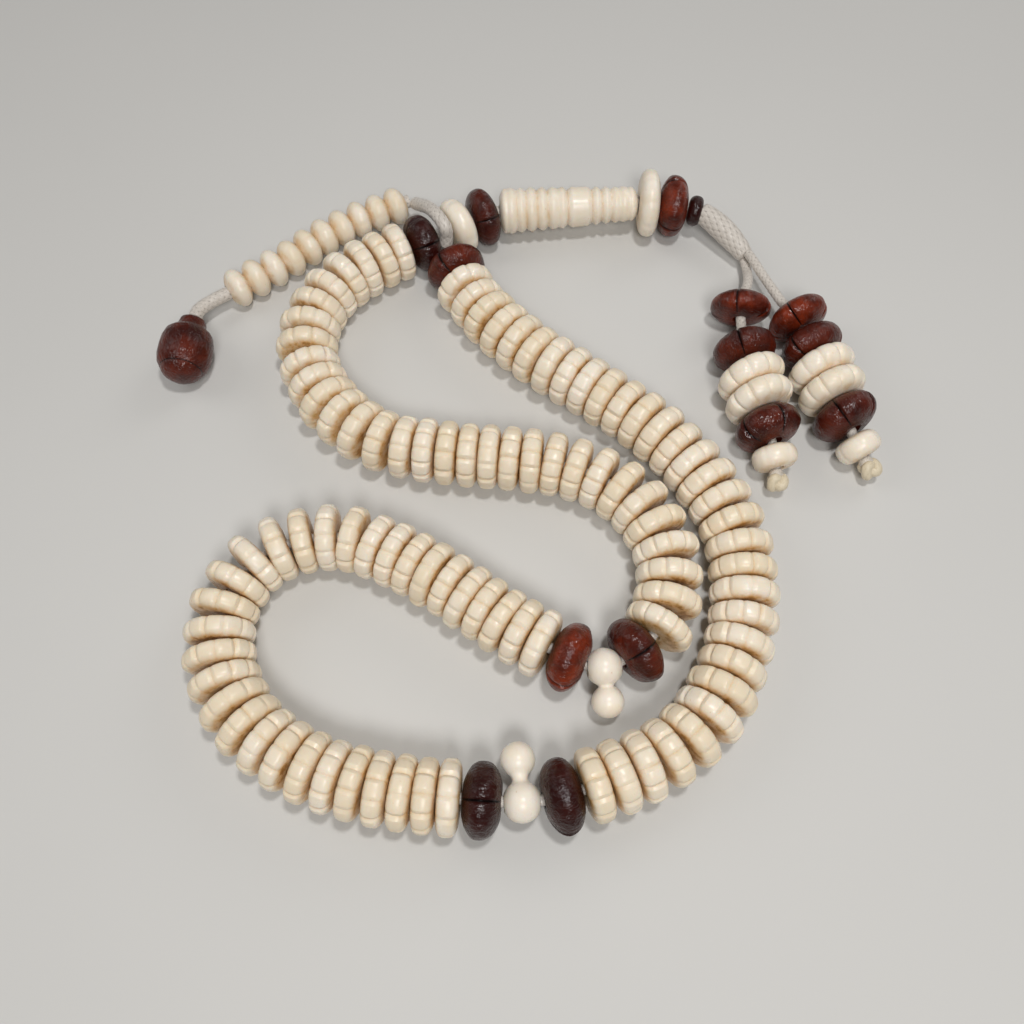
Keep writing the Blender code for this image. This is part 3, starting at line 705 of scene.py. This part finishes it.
def plaited_tube(name, points, radius_at, sides, strands, pitch, relief, wax=0.0):
    """A tube along close points whose wall rises over each strand, with closed ends."""
    shape = bmesh.new()
    layers = {key: shape.verts.layers.float.new(key) for key in ("relief", "tone")}
    grain = shape.verts.layers.float_vector.new("grain")
    headings = [
        (after - before).normalized()
        for before, after in zip([points[0], *points[:-1]], [*points[1:], points[-1]])
    ]
    side = UP.cross(headings[0])
    side = side.normalized() if side.length > 0.1 else Vector((1, 0, 0))
    rings, station = [], 0.0
    for index, (point, forward) in enumerate(zip(points, headings)):
        if index:
            station += (point - points[index - 1]).length
        side = (side - forward * side.dot(forward)).normalized()
        lift = forward.cross(side)
        share = index / (len(points) - 1)
        ring = []
        for corner in range(sides):
            angle = TURN * corner / sides
            height = plait(station, angle, strands, pitch)
            out = radius_at(share) + relief * (height - 0.6)
            offset = (side * cos(angle) + lift * sin(angle)) * out
            vertex = shape.verts.new((point + offset) * MM)
            vertex[layers["relief"]] = height
            vertex[layers["tone"]] = wax
            vertex[grain] = (station, cos(angle) * out, sin(angle) * out)
            ring.append(vertex)
        rings.append(ring)
    for first, second in zip(rings, rings[1:]):
        for i in range(sides):
            j = (i + 1) % sides
            shape.faces.new((first[i], first[j], second[j], second[i]))
    for ring, point in ((rings[0], points[0]), (rings[-1], points[-1])):
        middle = shape.verts.new(point * MM)
        middle[grain] = ring[0][grain]
        for i in range(sides):
            shape.faces.new((ring[i], ring[(i + 1) % sides], middle))
    bmesh.ops.recalc_face_normals(shape, faces=shape.faces[:])
    data = bpy.data.meshes.new(name)
    shape.to_mesh(data)
    shape.free()
    data.shade_smooth()
    piece = bpy.data.objects.new(name, data)
    bpy.context.scene.collection.objects.link(piece)
    return piece


def cord_tube(name, route, stop, diameter, sides, step, strands, pitch):
    points, radius = route.evenly(stop, step), diameter / 2
    return plaited_tube(name, points, lambda share: radius, sides, strands, pitch, 0.13)


# ---- operators


class MISBAHA_OT_stage(bpy.types.Operator):
    """Add the camera, the plain pale floor and soft studio light"""

    bl_idname = "misbaha.stage"
    bl_label = "Stage and camera"

    def execute(self, context):
        deselect()
        bpy.ops.object.camera_add(
            location=(0.0006, -0.08045, 0.15343), rotation=(radians(25), 0, 0),
        )
        camera = context.object
        camera.name = "camera"
        camera.data.lens = 31.64
        camera.data.sensor_width = 36.0
        camera.data.clip_start = 0.01
        context.scene.camera = camera

        deselect()
        bpy.ops.mesh.primitive_plane_add(size=3.0)
        table = context.object
        table.name = "floor"
        material, tree, shader = new_material("matt_table_top", {"Roughness": 0.85})
        place = add_node(tree, "ShaderNodeTexCoord").outputs["Object"]
        cloud = speckle(tree, place, 9.0, 3.0)
        paint = context.scene.misbaha_colours.floor
        darker = [value * 0.94 for value in paint]
        drive(tree, shader, Base_Color=blend(tree, cloud, paint, darker))
        table.data.materials.append(material)

        for name, place, size, power in (
            ("key_light", (0.04, -0.32, 0.44), 0.17, 1.2),
            ("fill_light", (-0.40, 0.12, 0.36), 0.35, 0.42),
            ("back_light", (0.32, 0.34, 0.34), 0.3, 0.42),
            ("sparkle_light", (0.05, -0.02, 0.40), 0.045, 0.58),
        ):
            deselect()
            bpy.ops.object.light_add(type="AREA", location=place)
            light = context.object
            light.name = name
            light.data.shape = "DISK"
            light.data.size = size
            light.data.energy = power
            light.rotation_euler = (-Vector(place)).to_track_quat("-Z", "Y").to_euler()
        world = bpy.data.worlds.new("soft_daylight")
        world.use_nodes = True
        sky = world.node_tree.nodes["Background"].inputs
        sky["Color"].default_value, sky["Strength"].default_value = (1, 0.985, 0.96, 1), 0.14
        context.scene.world = world
        context.scene.view_settings.view_transform = "Standard"
        return {"FINISHED"}


class MISBAHA_OT_cords(bpy.types.Operator):
    """Plait the strand cord, the head's cord, the counter's tail and the three free cords"""

    bl_idname = "misbaha.cords"
    bl_label = "Cords"

    def execute(self, context):
        sizes = context.scene.misbaha_sizes
        for node, route, *shape in (
            ("main_cord", strand_route(), sizes.strand_cord / MM, 20, 0.32, 4, 1.3),
            ("head_cord", Route(HEAD_ROUTE), 2.4, 20, 0.4, 5, 1.4),
            ("counter_tail", Route([TAIL_ROOT, *COUNTER_TAIL]), sizes.counter_cord / MM, 36,
             0.16, 6, 1.5),
            ("counter_cord", Route(COUNTER_ROUTE), sizes.counter_cord / MM, 32, 0.2, 6, 1.35),
        ):
            cord = cord_tube("plaited_" + node, route, route.length, *shape)
            finish_piece(cord, "cord", node)
        for side in LEG_ROUTES:
            cord = cord_tube(
                f"plaited_{side}_leg", *leg_route(side), sizes.leg_cord / MM, 28, 0.17, 5, 1.25,
            )
            finish_piece(cord, "cord", f"{side}_leg_cord")
        return {"FINISHED"}


class MISBAHA_OT_strand_beads(bpy.types.Operator):
    """Cut the notched bone beads and thread three runs of them on the strand"""

    bl_idname = "misbaha.strand_beads"
    bl_label = "Strand beads"

    def execute(self, context):
        sizes = context.scene.misbaha_sizes
        diameter, depth = sizes.strand_bead / MM, sizes.notch_depth / MM
        thickness = sizes.strand_bead_thickness / MM
        profile = bored_profile(SAWN_SECTION, diameter, thickness, 2.5)
        masters = []
        for count in (sizes.notches, sizes.notches, sizes.notches - 1, sizes.notches + 1):
            sides = 10 * count
            cuts = set(range(0, sides, 10))
            masters.append(
                notched_bead("bead", profile, sides, cuts, depth, 0.7 * diameter / 2, (0.45,))
            )
        route = strand_route()
        draw = random.Random(SEED)
        first = 1
        for label, run in (("a", RUN_A), ("b", RUN_B), ("c", RUN_C)):
            last = first + len(run) - 1
            start = route.knot_stations[first] + SPACER_REACH
            stop = route.knot_stations[last] - SPACER_REACH
            bounds = bead_boundaries(route, start, stop, BEADS_PER_RUN)
            for number, (low, high) in enumerate(zip(bounds, bounds[1:])):
                station = (low + high) / 2
                room = (high - low) * (1 - INNER_RIM * route.curvature(station))
                wide = min(1.012, max(0.975, draw.gauss(1.0, 0.008)))
                centre = route.at(station)
                centre.z = diameter / 2 * wide + TABLE_GAP
                look = {
                    "depth": depth, "warp": 0.05, "step": 0.14, "wedge": 0.006, "wide": wide,
                    "thick": min(room, thickness * draw.uniform(0.97, 1.03)) / thickness,
                    "tone": 0.1 + 0.6 * draw.betavariate(2.0, 2.6), "lumps": 0.07,
                    "lump_scale": 0.45, "stain_and_shade": draw.uniform(0.75, 1.0), "cut": 0.42,
                    "depths": (1.0, 1.0, 0.9, 0.75, 0.5),
                }
                along = lean(route.direction(station, 1.5), draw, 0.03)
                bead = lay_bead(
                    draw.choice(masters), f"bone_bead_{label}{number + 1:02d}", centre, along,
                    draw, look,
                )
                finish_piece(bead, "bone", f"bead_row_{label}{number // BEADS_PER_ROW + 1}")
            first = last + 2
        discard(*masters)
        return {"FINISHED"}


class MISBAHA_OT_wooden_beads(bpy.types.Operator):
    """Turn the lacquered wooden spacers, tassel beads and discs, each with a few deep cuts"""

    bl_idname = "misbaha.wooden_beads"
    bl_label = "Wooden beads"

    SIDES = 128
    # node: diameter, thickness, tone and spin; a size of 0 is the strand's own
    PIECES = {
        "spacer_a_start": (0, 0, 0.10, 0.4), "spacer_a_end": (0, 0, 0.45, 1.6),
        "spacer_b_start": (0, 0, 0.95, 1.2), "spacer_b_end": (0, 0, 0.08, 2.6),
        "spacer_c_start": (0, 0, 0.12, 0.9), "spacer_c_end": (0, 0, 0.5, 2.0),
        "head_wood_disc": (12.0, 5.6, 0.30, 0.7), "collar_wood_disc": (12.8, 6.0, 1.0, 1.5),
        "left_wood_1": (11.8, 5.3, 0.8, 0.3), "left_wood_2": (12.4, 6.0, 0.45, 2.2),
        "left_wood_3": (12.6, 6.4, 0.55, 1.1), "right_wood_1": (12.4, 6.0, 0.9, 1.9),
        "right_wood_2": (12.4, 6.4, 0.4, 2.9), "right_wood_3": (12.6, 6.6, 0.35, 0.6),
    }

    def execute(self, context):
        sizes = context.scene.misbaha_sizes
        diameter, thickness = sizes.spacer / MM, sizes.spacer_thickness / MM
        profile = bored_profile(LENS_SECTION, diameter, thickness, 2.8)
        masters = [
            notched_bead("wood", profile, self.SIDES, set(cuts), 0.62, 0.6 * diameter / 2, (0.3,))
            for cuts in ((4, 47, 90), (12, 76), (0, 31, 70, 101))
        ]
        draw = random.Random(SEED + 1)
        for node, (wide, thick, tone, spin) in self.PIECES.items():
            look = {
                "depth": 0.62, "warp": 0.06, "step": 0.2, "wedge": 0.006,
                "wide": (wide or diameter) / diameter * 0.99,
                "thick": (thick or thickness) / thickness,
                "tone": tone, "lumps": 0.28, "lump_scale": 0.24, "stain_and_shade": 0.0,
                "depths": (1.0, 0.8, 0.9), "cut": 1.0,
            }
            thread(draw.choice(masters), "wood", node, draw, look, spin)
        small = notched_bead(
            "small", bored_profile(PILLOW_SECTION, 6.2, 3.1, 2.6), 48, set(), 0.1, 1.8, (),
        )
        look = {"tone": 0.05, "lumps": 0.1, "stain_and_shade": 0.0}
        thread(small, "wood", "collar_bead", draw, look)
        discard(small, *masters)
        return {"FINISHED"}


class MISBAHA_OT_tassel_bones(bpy.types.Operator):
    """Cut the larger bone beads and the small end beads of the tassel's two legs"""

    bl_idname = "misbaha.tassel_bones"
    bl_label = "Tassel bone beads"

    def execute(self, context):
        diameter = context.scene.misbaha_sizes.tassel_bead / MM
        profile = bored_profile(PILLOW_SECTION, diameter, 5.1, 2.9)
        large = [
            notched_bead("large", profile, 10 * count, set(range(0, 10 * count, 10)), 0.5,
                         0.64 * diameter / 2, (0.42,))
            for count in (10, 12)
        ]
        small = notched_bead(
            "small", bored_profile(PILLOW_SECTION, 8.6, 4.5, 2.6), 72, set(range(0, 72, 12)),
            0.2, 2.6, (0.5,),
        )
        draw = random.Random(SEED + 2)
        for side in LEG_ROUTES:
            for name, master, depth, scallop in (
                ("bone_1", large[0], 0.5, 0.14), ("bone_2", large[1], 0.5, 0.14),
                ("end_bead", small, 0.2, 0.05),
            ):
                look = {
                    "depth": depth, "warp": 0.04, "step": 0.12, "scallop": scallop, "cut": 0.25,
                    "wedge": 0.004, "wide": 0.99, "tone": draw.uniform(0.0, 0.2), "lumps": 0.08,
                    "lump_scale": 0.35, "stain_and_shade": 0.5, "depths": (1.0, 0.9, 0.8, 0.5),
                }
                thread(master, "bone", f"{side}_{name}", draw, look)
        discard(small, *large)
        return {"FINISHED"}


class MISBAHA_OT_head_discs(bpy.types.Operator):
    """Turn the two smooth bone discs on either side of the imame"""

    bl_idname = "misbaha.head_discs"
    bl_label = "Bone discs of the head"

    def execute(self, context):
        draw = random.Random(SEED + 3)
        for node, wide, thick in (("head_bone_disc", 12.0, 4.9), ("collar_bone_disc", 14.0, 4.3)):
            profile = bored_profile(PILLOW_SECTION, wide, thick, 2.8)
            master = notched_bead("disc", profile, 88, set(range(0, 88, 11)), 0.16,
                                  0.72 * wide / 2, (0.5,))
            look = {
                "depth": 0.12, "warp": 0.05, "step": 0.06, "tone": 0.1, "lumps": 0.05,
                "lump_scale": 0.3, "stain_and_shade": 0.35, "depths": (1.0, 0.6, 0.2), "wide": 0.995,
                "cut": 0.15,
            }
            thread(master, "bone", node, draw, look)
            discard(master)
        return {"FINISHED"}


def place_turned(piece, start, along, tone, darkened_under, lumps=0.0):
    """Move a turned piece from +X at the origin to its place, in its mesh, with its layers."""
    data = piece.data
    turn = turn_to(along)
    layers = surface_layers(data)
    for index, vertex in enumerate(data.vertices):
        local = vertex.co / MM
        out = hypot(local.y, local.z)
        if lumps and out > 0.1:
            push = noise.noise(local * 0.25) + 0.5 * noise.noise(local * 0.6)
            local.yz += local.yz.normalized() * push * lumps
        layers["grain"][index].vector = local
        layers["stain_and_shade"][index].value = darkened_under(local.x, out)
        layers["tone"][index].value = tone
        vertex.co = (start + turn @ local) * MM


class MISBAHA_OT_imame(bpy.types.Operator):
    """Turn the long bone head piece with its rounded rings and grooves"""

    bl_idname = "misbaha.imame"
    bl_label = "Imame"

    WIDE, NARROW = 4.8, 3.5
    ROUNDING, HALF_GROOVE = 1.7, 0.95

    def execute(self, context):
        groove = context.scene.misbaha_sizes.imame_groove / MM
        axis = IMAME_NARROW_END - IMAME_WIDE_END
        span = axis.length

        def envelope(along):
            """The radius without its grooves, with both ends rounded over."""
            radius = self.WIDE + (self.NARROW - self.WIDE) * along / span
            end = min(along, span - along) / self.ROUNDING
            return radius * (1 - 0.42 * max(0.0, 1 - end) ** 2.6)

        def turned_radius(along):
            cut = max(
                share * max(0.0, 1 - abs(along - place) / self.HALF_GROOVE) ** 1.35
                for place, share in IMAME_GROOVES
            )
            return envelope(along) - groove * cut

        steps = 130
        places = [span * step / steps for step in range(steps + 1)]
        wall = [(place, turned_radius(place)) for place in places]
        profile = [(0.3, 1.4), (0.0, 1.8), *wall, (span, 1.8), (span - 0.3, 1.4), (0.3, 1.4)]
        imame = turned("turned_imame", profile, 72, 60)
        place_turned(
            imame, IMAME_WIDE_END, axis, 0.15,
            # the grooves are painted darker towards their bottoms, up to a share of 0.45
            lambda along, out: min(0.45, max(0.0, (envelope(along) - 0.25 - out) / 0.9)), 0.03,
        )
        finish_piece(imame, "bone", "imame")
        return {"FINISHED"}


class MISBAHA_OT_dividers(bpy.types.Operator):
    """Turn the two dividers, each a bored ball, a neck and a free ball"""

    bl_idname = "misbaha.dividers"
    bl_label = "Dividers"

    BALL, NECK, FLARE = 3.2, 1.3, 0.25
    # node, knot of the strand, radius of the free ball, how far away and how much lower its
    # middle is, and degrees that the arm is turned about UP
    PIECES = (
        ("divider_1", 1 + len(RUN_A), 2.75, 5.7, 1.50322, 0.0),
        ("divider_2", 2 + len(RUN_A) + len(RUN_B), 2.85, 6.7, 0.6, 3.0),
    )

    def execute(self, context):
        route = strand_route()
        ball, root, steps = self.BALL, self.NECK * (1 + self.FLARE), range(17)
        leave = pi - asin(root / ball)
        for node, knot, free, spacing, fall, turn in self.PIECES:
            arrive = asin(root / free)
            angles = [leave * step / 16 for step in steps]
            profile = [(-ball * cos(angle), ball * sin(angle)) for angle in angles]
            low, high = profile[-1][0], spacing - free * cos(arrive)
            for share in (step / 6 for step in range(1, 6)):
                waist = self.NECK * (1 + self.FLARE * (2 * share - 1) ** 2)
                profile.append((low + (high - low) * share, waist))
            for angle in (arrive + (pi - arrive) * step / 16 for step in steps):
                profile.append((spacing - free * cos(angle), free * sin(angle)))
            profile[0], profile[-1] = (-ball, 0.0), (spacing + free, 0.0)
            station = route.knot_stations[knot]
            cord, tilt = route.direction(station), asin(fall / spacing)
            arm = UP.cross(cord).normalized() * cos(tilt) - UP * sin(tilt)
            arm.rotate(Matrix.Rotation(radians(turn), 3, UP))
            divider = turned("turned_" + node, profile, 56, 60)
            place_turned(divider, route.at(station), arm, 0.0, lambda along, out: 0.0)
            deselect()
            bpy.ops.mesh.primitive_cylinder_add(
                vertices=40, radius=1.35 * MM, depth=12 * MM, location=route.at(station) * MM,
                rotation=cord.to_track_quat("Z", "Y").to_euler(),
            )
            drill = context.object
            hole = divider.modifiers.new("bore", "BOOLEAN")
            hole.object, hole.operation = drill, "DIFFERENCE"
            deselect()
            context.view_layer.objects.active = divider
            divider.select_set(True)
            bpy.ops.object.modifier_apply(modifier="bore")
            discard(drill)
            finish_piece(divider, "bone", node)
        return {"FINISHED"}


class MISBAHA_OT_sleeve(bpy.types.Operator):
    """Plait the thick sleeve that gathers the cords between the collar and the fork"""

    bl_idname = "misbaha.sleeve"
    bl_label = "Braided sleeve"

    def execute(self, context):
        route = Route(SLEEVE_ROUTE)

        def radius(share):
            """Narrow at the collar, full in the middle, and drawn in to the fork."""
            full = 1.6 + 0.85 * sin(pi * (0.14 + 0.86 * share)) ** 0.8
            end = min(share, 1 - share) / 0.05
            return full * (1.0 if end > 1 else 0.3 + 0.7 * sqrt(end * (2 - end)))

        apart = 0.14
        points = route.evenly(route.length, apart)
        before = (points[0] - points[1]).normalized()
        after = (points[-1] - points[-2]).normalized()
        # it reaches past its route, under the collar bead and over the two legs
        points = [
            *(points[0] + before * apart * step for step in range(9, 0, -1)), *points,
            *(points[-1] + after * apart * step for step in range(1, 9)),
        ]
        sleeve = plaited_tube("braided_sleeve", points, radius, 84, 11, 2.6, 0.16)
        finish_piece(sleeve, "cord", "sleeve")
        return {"FINISHED"}


class MISBAHA_OT_knots(bpy.types.Operator):
    """Tie the two knots that stop the beads of the tassel"""

    bl_idname = "misbaha.knots"
    bl_label = "Knots"

    def execute(self, context):
        for side, size, phase in (("left", 1.0, 0.4), ("right", 1.08, 2.1)):
            route = Route(LEG_ROUTES[side])
            centre = route.at(route.length)
            turn = turn_to(route.direction(route.length))
            points = []
            for step in range(241):
                angle = TURN * step / 240 + phase
                loop = Vector((
                    -sin(3 * angle) * 0.75,
                    (sin(angle) + 2 * sin(2 * angle)) * 0.40,
                    (cos(angle) - 2 * cos(2 * angle)) * 0.40,
                ))
                points.append(centre + turn @ loop * size)
            knot = plaited_tube(
                f"tied_{side}_knot", points, lambda share: 0.98, 24, 5, 1.3, 0.09, 0.7,
            )
            start = route.length - KNOT_NECK_REACH
            points = [route.at(start + 0.15 * step) for step in range(12)]
            neck = plaited_tube(
                f"drawn_{side}_neck", points,
                lambda share: (0.95 + 0.5 * share) * (0.5 if share in (0.0, 1.0) else 1.0),
                28, 6, 1.1, 0.12, 0.1,
            )
            for piece in (knot, neck):
                finish_piece(piece, "cord", f"{side}_knot")
        return {"FINISHED"}


class MISBAHA_OT_counting_beads(bpy.types.Operator):
    """Turn the ten small counting beads"""

    bl_idname = "misbaha.counting_beads"
    bl_label = "Counting beads"

    def execute(self, context):
        diameter = context.scene.misbaha_sizes.counter_bead / MM
        profile = bored_profile(EGG_SECTION, diameter * 0.97, 4.5, 3.0)
        master = notched_bead("counting", profile, 80, set(range(0, 80, 10)), 0.07,
                              0.7 * diameter / 2, (0.6,))
        draw = random.Random(SEED + 4)
        for number in range(1, 11):
            look = {
                "depth": 0.1, "warp": 0.06, "step": 0.05, "wedge": 0.004,
                "tone": draw.uniform(0.1, 0.4), "wide": draw.uniform(0.97, 1.0),
                "thick": draw.uniform(0.95, 1.02), "lumps": 0.06, "lump_scale": 0.4,
                "stain_and_shade": 0.55, "depths": (1.0, 0.5, 0.1), "cut": 0.2,
            }
            thread(master, "bone", f"counter_bead_{number:02d}", draw, look)
        discard(master)
        return {"FINISHED"}


class MISBAHA_OT_drop(bpy.types.Operator):
    """Turn the wooden drop at the end of the counting beads"""

    bl_idname = "misbaha.drop"
    bl_label = "Drop"

    def execute(self, context):
        drop = turned("lacquered_drop", DROP_PROFILE, 72, 50)
        place_turned(
            drop, DROP_NECK, DROP_END - DROP_NECK, 0.45,
            # painted shade, near black, in the small groove 11.6 to 11.9 mm along the drop
            lambda along, out: 0.7 if 11.6 < along < 11.9 else 0.0, 0.24,
        )
        finish_piece(drop, "wood", "counter_drop")
        return {"FINISHED"}


class MISBAHA_OT_free_cords(bpy.types.Operator):
    """Work out each free cord's route, its start and points along it, and keep none of them"""

    bl_idname = "misbaha.free_cords"
    bl_label = "Free cords"

    def execute(self, context):
        for side in LEG_ROUTES:
            route, stop = leg_route(side)
            route.at(0) * MM
            [point * MM for point in route.evenly(stop, 0.5)]
        route = Route(COUNTER_ROUTE)
        route.at(0) * MM
        [point * MM for point in route.evenly(route.length, 0.5)]
        return {"FINISHED"}


STEPS = (
    MISBAHA_OT_stage, MISBAHA_OT_cords, MISBAHA_OT_strand_beads, MISBAHA_OT_wooden_beads,
    MISBAHA_OT_tassel_bones, MISBAHA_OT_head_discs, MISBAHA_OT_imame, MISBAHA_OT_dividers,
    MISBAHA_OT_sleeve, MISBAHA_OT_knots, MISBAHA_OT_counting_beads, MISBAHA_OT_drop,
    MISBAHA_OT_free_cords,
)


class MISBAHA_PT_panel(bpy.types.Panel):
    """Sizes, colours and the steps that make the beads"""

    bl_label = "Misbaha"
    bl_idname = "MISBAHA_PT_panel"
    bl_space_type = "VIEW_3D"
    bl_region_type = "UI"
    bl_category = "Misbaha"

    def draw(self, context):
        for title, group in (("Sizes", context.scene.misbaha_sizes),
                             ("Colours", context.scene.misbaha_colours)):
            box = self.layout.box()
            box.label(text=title)
            for name in group.__annotations__:
                box.prop(group, name)
        for step in STEPS:
            self.layout.operator(step.bl_idname)


CLASSES = (MisbahaSizes, MisbahaColours, *STEPS, MISBAHA_PT_panel)


def register():
    for made in CLASSES:
        bpy.utils.register_class(made)
    bpy.types.Scene.misbaha_sizes = PointerProperty(type=MisbahaSizes)
    bpy.types.Scene.misbaha_colours = PointerProperty(type=MisbahaColours)


def unregister():
    del bpy.types.Scene.misbaha_colours
    del bpy.types.Scene.misbaha_sizes
    for made in reversed(CLASSES):
        bpy.utils.unregister_class(made)


def main():
    register()
    for step in STEPS:
        group, name = step.bl_idname.split(".")
        getattr(getattr(bpy.ops, group), name)()


if __name__ == "__main__":
    main()
